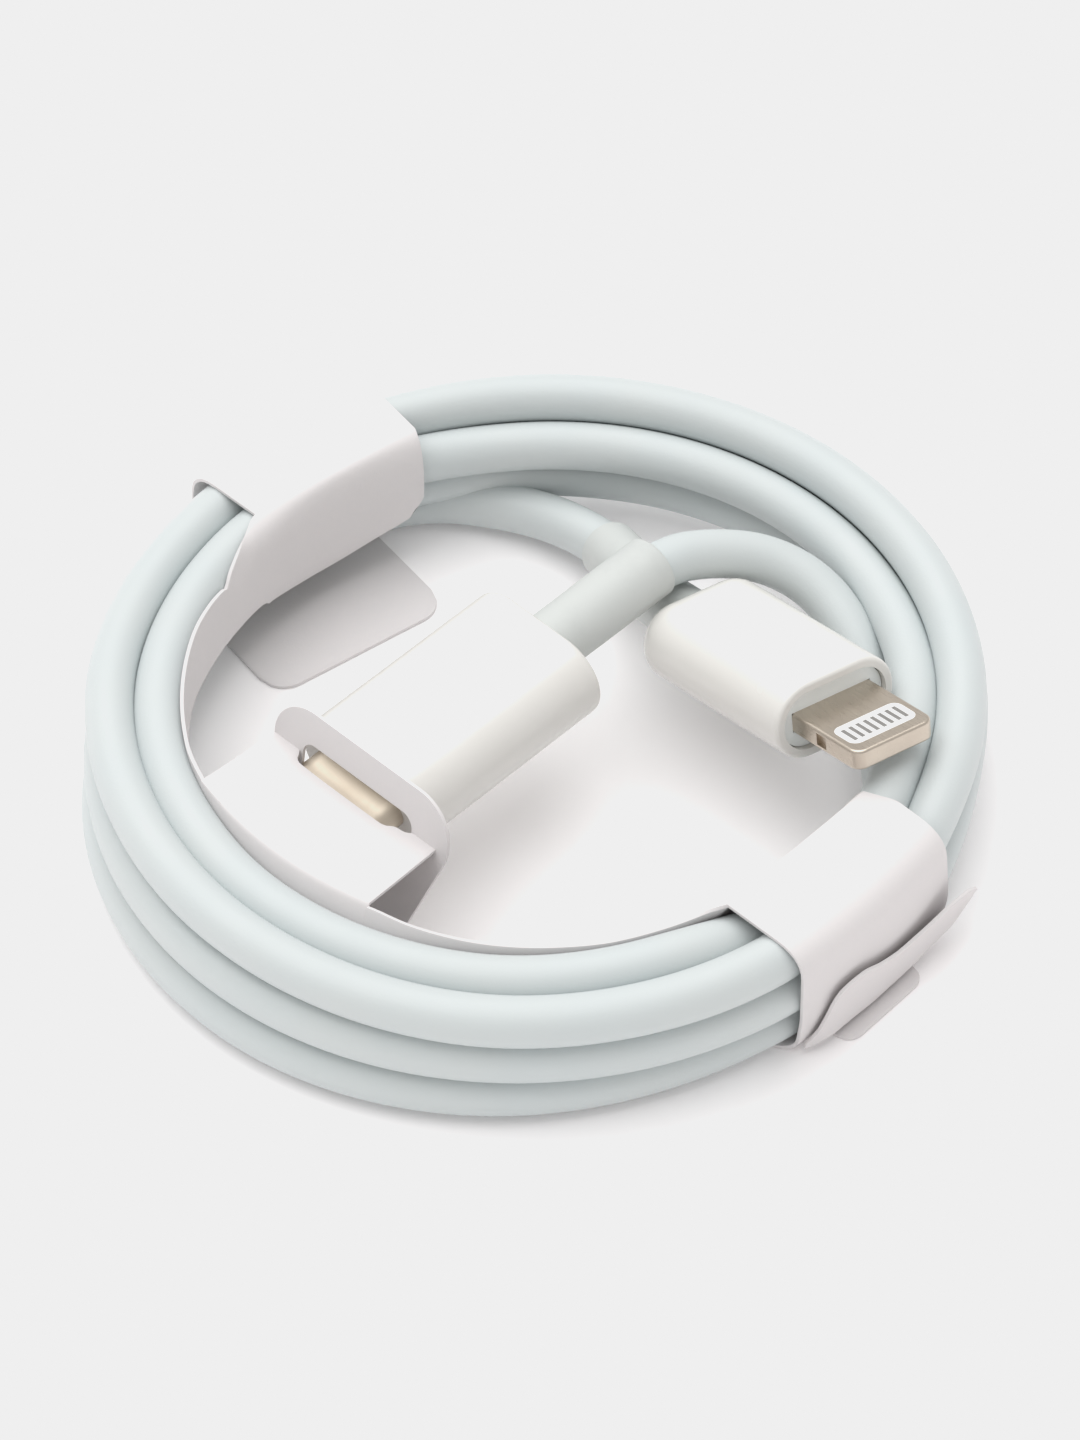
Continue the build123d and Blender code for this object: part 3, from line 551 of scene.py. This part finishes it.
def on_ring(azimuth, radius, height):
    """A point at a radius that follows the coil's oval."""
    distance = radius + OVAL * cos(2 * radians(azimuth - OVAL_ANGLE))
    return mm(distance * cos(radians(azimuth)), distance * sin(radians(azimuth)), height)


def on_band(middle, distance, along, height):
    """A point by a band's own directions: out from the Z axis, along the band's width, and up."""
    outward = Vector((cos(radians(middle)), sin(radians(middle)), 0))
    sideways = Vector((-outward.y, outward.x, 0))
    return outward * mm(distance) + sideways * mm(along) + Vector((0, 0, mm(height)))


def band_line(middle, line, share):
    """A point on one of a band's lines, from one edge of the band to the other."""
    (distance0, along0), (distance1, along1), height, bow = line
    distance = distance0 + (distance1 - distance0) * share + bow * 4 * share * (1 - share)
    return on_band(middle, distance, along0 + (along1 - along0) * share, height)


def bend(start, corner, end, steps):
    """A curve from start to end that leaves and arrives along the lines to the corner."""
    places = [k / steps for k in range(steps + 1)]
    return [start * (1 - t) ** 2 + corner * 2 * t * (1 - t) + end * t ** 2 for t in places]


def folded(points, reaches, run_steps):
    """Runs between points, with a bend of the given reach at each inner point."""
    path = [points[0]]
    for index in range(1, len(points)):
        here, there = path[-1], points[index]
        last = index == len(points) - 1
        direction = (there - here).normalized()
        stop = there if last else there - direction * mm(reaches[index - 1])
        path += [here.lerp(stop, k / run_steps) for k in range(1, run_steps + 1)]
        if not last:
            onward = (points[index + 1] - there).normalized()
            path += bend(stop, there, there + onward * mm(reaches[index - 1]), BEND_STEPS)[1:]
    return path


def shelf_edge(share):
    """The shelf's outer edge, a gently bulging line."""
    bulge = mm(SHELF_BULGE * 4 * share * (1 - share))
    outward = Vector((cos(radians(SHELF_AZIMUTH)), sin(radians(SHELF_AZIMUTH)), 0))
    return SHELF_CORNERS[0].lerp(SHELF_CORNERS[1], share) + outward * bulge


def below_fold(shoulder, fold, hang):
    """Corner of the wall's upper curve where a panel continues it."""
    return Vector((shoulder.x, shoulder.y, fold.z - mm(FOLD_DROP))).lerp(fold, hang)


def wall_section(azimuth, fold=None, hang=0.0):
    """The wall from its bottom edge up; fold is where a panel continues it."""
    foot = on_ring(azimuth, WALL, curve_at(WALL_FOOT, azimuth))
    shoulder = on_ring(azimuth, WALL, curve_at(WALL_SHOULDER, azimuth))
    if fold is not None:
        top, corner = fold, below_fold(shoulder, fold, hang)
    else:
        top = on_ring(azimuth, WALL + curve_at(EDGE_RADIUS, azimuth), curve_at(EDGE_HEIGHT, azimuth))
        corner = shoulder.lerp(top, 0.5) + Vector((0, 0, mm(FREE_LIFT)))
        corner.z = min(corner.z, top.z)
        if azimuth < SHELF_START:
            nearness = max(0.0, 1 - (azimuth - LEFT_END) / LEFT_BLEND)
            top = top.lerp(band_line(LEFT_AZIMUTH, LEFT_BAND[0], 1), nearness ** 2)
            corner = corner.lerp(below_fold(shoulder, top, 0), min(1.0, LEFT_BLEND_RATE * nearness))
        elif azimuth > RIGHT_START - RIGHT_BLEND:
            nearness = smooth(1 - (RIGHT_START - azimuth) / RIGHT_BLEND)
            corner = corner.lerp(below_fold(shoulder, top, RIGHT_HANG), nearness)
    rows = [foot.lerp(shoulder, k / LOWER_ROWS) for k in range(LOWER_ROWS)]
    return rows + bend(shoulder, corner, top, FOLD_ROWS)


def left_wall(azimuth, share):
    """The wall under the left band, whose free edge bulges sideways between its foot and the fold."""
    rows = wall_section(azimuth, band_line(LEFT_AZIMUTH, LEFT_BAND[0], share))
    sideways = on_band(LEFT_AZIMUTH, 0, -1, 0)
    amount = LEFT_BULGE * max(0.0, 1 - share / LEFT_BULGE_SHARE) ** 2
    return [row + sideways * amount * sin(pi * k / (len(rows) - 1)) for k, row in enumerate(rows)]


def band_panel(middle, lines, bends, share, run_steps):
    """One strip of a band: over the top, down the outer side and under the coil."""
    reaches = [first + (last - first) * share for first, last in bends]
    return folded([band_line(middle, line, share) for line in lines], reaches, run_steps)


def shelf_panel(share):
    """From the shelf's outer edge to its fold with the plate, which the slot cuts back."""
    edge = shelf_edge(share)
    inner = PLATE_FOLD[0].lerp(PLATE_FOLD[1], share)
    length = (PLATE_FOLD[1] - PLATE_FOLD[0]).length * 1000
    back = (edge - inner).normalized() * mm(curve_at(SLOT_EDGE, share * length))
    return [edge.lerp(inner + back, k / SHELF_ROWS) for k in range(SHELF_ROWS + 1)]


def floor_tab(middle, free, hidden, left, right, rounding, height):
    """A flat tab as a grid: its two corners at the free end are round."""
    inward = 1 if hidden > free else -1
    grid = []
    for share in spread(0, 1, TAB_STEP):
        place = left + (right - left) * share
        inset = max(0.0, rounding - min(place - left, right - place))
        start = free + inward * (rounding - sqrt(max(0.0, rounding ** 2 - inset ** 2)))
        grid.append([on_band(middle, start + (hidden - start) * k / TAB_ROWS, place, height)
                     for k in range(TAB_ROWS + 1)])
    return grid


def flap_grid():
    """The loose flap, column by column along its fold."""
    grid = []
    for place in spread(FLAP[0][0], FLAP[-1][0], FLAP_STEP):
        foot_out, foot_up, edge_out, edge_up = (
            curve_at([(row[0], row[value]) for row in FLAP], place) for value in (1, 2, 3, 4))
        foot = on_band(RIGHT_AZIMUTH, foot_out, place, foot_up)
        edge = on_band(RIGHT_AZIMUTH, edge_out, place, edge_up)
        hollow = on_band(RIGHT_AZIMUTH, foot_out + FLAP_HOLLOW, place, (foot_up + edge_up) / 2)
        grid.append(bend(foot, hollow, edge, FLAP_ROWS))
    return grid


def spread(start, end, step):
    """Evenly spaced values from start to end."""
    count = max(1, ceil((end - start) / step))
    return [start + (end - start) * k / count for k in range(count + 1)]


def with_shares(azimuths):
    """Each azimuth with its place between the first and the last, 0 to 1."""
    return [(a, (a - azimuths[0]) / (azimuths[-1] - azimuths[0])) for a in azimuths]


def merged_mesh(name, grids):
    """A mesh from grids of points; grids that share an edge become one sheet."""
    shape = bmesh.new()
    for grid in grids:
        made = [[shape.verts.new(point) for point in column] for column in grid]
        for first, second in zip(made, made[1:]):
            for corners in zip(first, first[1:], second[1:], second):
                shape.faces.new(corners)
    bmesh.ops.remove_doubles(shape, verts=shape.verts, dist=mm(MERGED))
    bmesh.ops.dissolve_degenerate(shape, dist=mm(DEGENERATE), edges=shape.edges)
    bmesh.ops.recalc_face_normals(shape, faces=shape.faces)
    mesh = bpy.data.meshes.new(name)
    shape.to_mesh(mesh)
    shape.free()
    return mesh


def card_piece(name, grids, body, *replaced):
    """One piece of bent card: a sheet with its thickness and softened cut edges."""
    piece = bpy.data.objects.new(name, merged_mesh(name, grids))
    bpy.context.scene.collection.objects.link(piece)
    thickness = piece.modifiers.new("thickness", "SOLIDIFY")
    thickness.thickness = mm(CARD)
    thickness.offset = 0
    thickness.use_even_offset = True
    edge = piece.modifiers.new("cut edge", "BEVEL")
    edge.width = mm(CUT_BEVEL)
    edge.segments = CUT_SEGMENTS
    edge.limit_method = "ANGLE"
    edge.angle_limit = radians(CUT_ANGLE)
    piece.data = apply_modifiers(piece)
    piece.data.polygons.foreach_set("use_smooth", [True] * len(piece.data.polygons))
    piece.data.set_sharp_from_angle(angle=radians(SHARP_ANGLE))
    piece.data.materials.clear()
    piece.data.materials.append(MATERIALS["paper_card"])
    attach(piece, body)
    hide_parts(*replaced)


def apply_modifiers(piece):
    """The piece's mesh with its modifiers in it."""
    bpy.context.view_layer.update()
    evaluated = piece.evaluated_get(bpy.context.evaluated_depsgraph_get())
    mesh = bpy.data.meshes.new_from_object(evaluated)
    piece.modifiers.clear()
    return mesh


def make_card():
    """The retainer: one folded sheet, with its loose flap apart because it moves."""
    left = with_shares(spread(LEFT_START, LEFT_END, BAND_STEP))
    shelf = with_shares(spread(SHELF_START, SHELF_END, SHELF_STEP))
    right = with_shares(spread(RIGHT_START, RIGHT_END, BAND_STEP))
    grids = [
        [left_wall(a, share) for a, share in left],
        [wall_section(a) for a in spread(LEFT_END, SHELF_START, EDGE_STEP)],
        [wall_section(a, shelf_edge(share), SHELF_HANG) for a, share in shelf],
        [wall_section(a) for a in spread(SHELF_END, RIGHT_START, BAND_STEP)],
        [wall_section(a, band_line(RIGHT_AZIMUTH, RIGHT_BAND[0], share), RIGHT_HANG)
         for a, share in right],
        [band_panel(LEFT_AZIMUTH, LEFT_BAND, LEFT_BENDS, share, LEFT_RUN_STEPS)
         for _, share in left],
        [shelf_panel(share) for _, share in shelf],
        [band_panel(RIGHT_AZIMUTH, RIGHT_BAND, RIGHT_BENDS, share, RIGHT_RUN_STEPS)
         for _, share in right],
        floor_tab(LEFT_AZIMUTH, *LEFT_TAB),
        floor_tab(RIGHT_AZIMUTH, *RIGHT_TAB),
    ]
    card_piece("paper_sheet", grids, "cable",
               "paper_wall", "paper_shelf", "paper_band_left", "paper_band_right", "paper_tab_right")
    card_piece("paper_flap_sheet", [flap_grid()], "flap", "paper_flap")


make_camera()
make_light()
make_floor()
dress_cad_nodes()
make_cable()
make_card()
